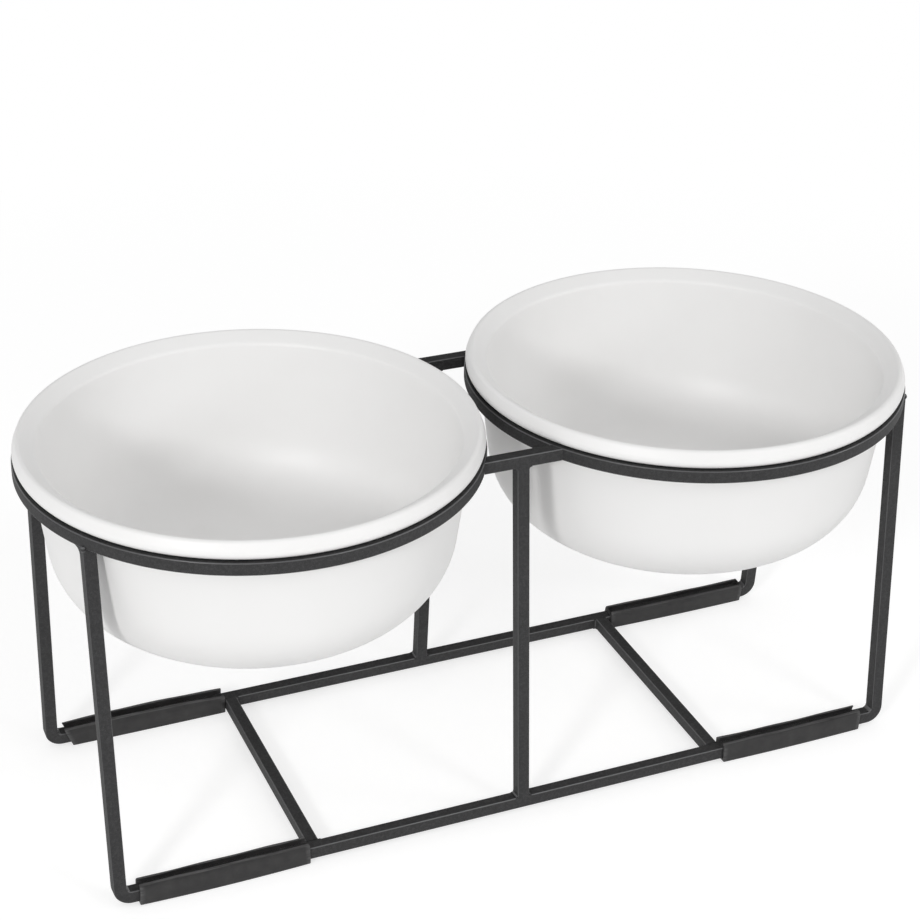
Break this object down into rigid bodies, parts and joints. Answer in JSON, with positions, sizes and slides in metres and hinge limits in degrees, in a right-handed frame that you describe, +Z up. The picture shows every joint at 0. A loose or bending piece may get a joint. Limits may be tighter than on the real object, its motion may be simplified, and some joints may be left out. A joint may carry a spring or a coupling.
{
  "type": "dog feeder stand",
  "caption": "Low welded square-bar stand with leaning legs and rubber foot strips, holding white ceramic bowls that lift out of its rings.",
  "frame": {"origin": "on the floor, under the middle of the stand", "axes": "+X along the pair of bowls from the water bowl to the food bowl, +Y from front to rear, +Z up"},
  "size_m": [0.4706, 0.2316, 0.2135],
  "materials": {
    "coated_steel": "satin powder coat",
    "rubber": "matte",
    "glaze": "satin glaze"
  },
  "bodies": {
    "stand": {"left_ring": "coated_steel", "right_ring": "coated_steel", "front_bridge_bar": "coated_steel", "rear_bridge_bar": "coated_steel", "front_bent_frame": "coated_steel", "rear_bent_frame": "coated_steel", "front_mid_post": "coated_steel", "rear_mid_post": "coated_steel", "left_cross_bar": "coated_steel", "right_cross_bar": "coated_steel", "front_left_leg_weld": "coated_steel", "front_right_leg_weld": "coated_steel", "rear_left_leg_weld": "coated_steel", "rear_right_leg_weld": "coated_steel", "front_post_top_weld": "coated_steel", "rear_post_top_weld": "coated_steel", "front_post_foot_weld": "coated_steel", "rear_post_foot_weld": "coated_steel", "front_left_cross_weld": "coated_steel", "front_right_cross_weld": "coated_steel", "rear_left_cross_weld": "coated_steel", "rear_right_cross_weld": "coated_steel", "front_left_foot_strip": "rubber", "front_right_foot_strip": "rubber", "rear_left_foot_strip": "rubber", "rear_right_foot_strip": "rubber"},
    "water_bowl": {"water_bowl": "glaze"},
    "food_bowl": {"food_bowl": "glaze"}
  },
  "joints": [
    {"name": "water_bowl_lift", "type": "slide", "parent": "stand", "child": "water_bowl", "axis": [0, 0, 1], "range_m": [0, 0.1]},
    {"name": "food_bowl_lift", "type": "slide", "parent": "stand", "child": "food_bowl", "axis": [0, 0, 1], "range_m": [0, 0.1]}
  ]
}
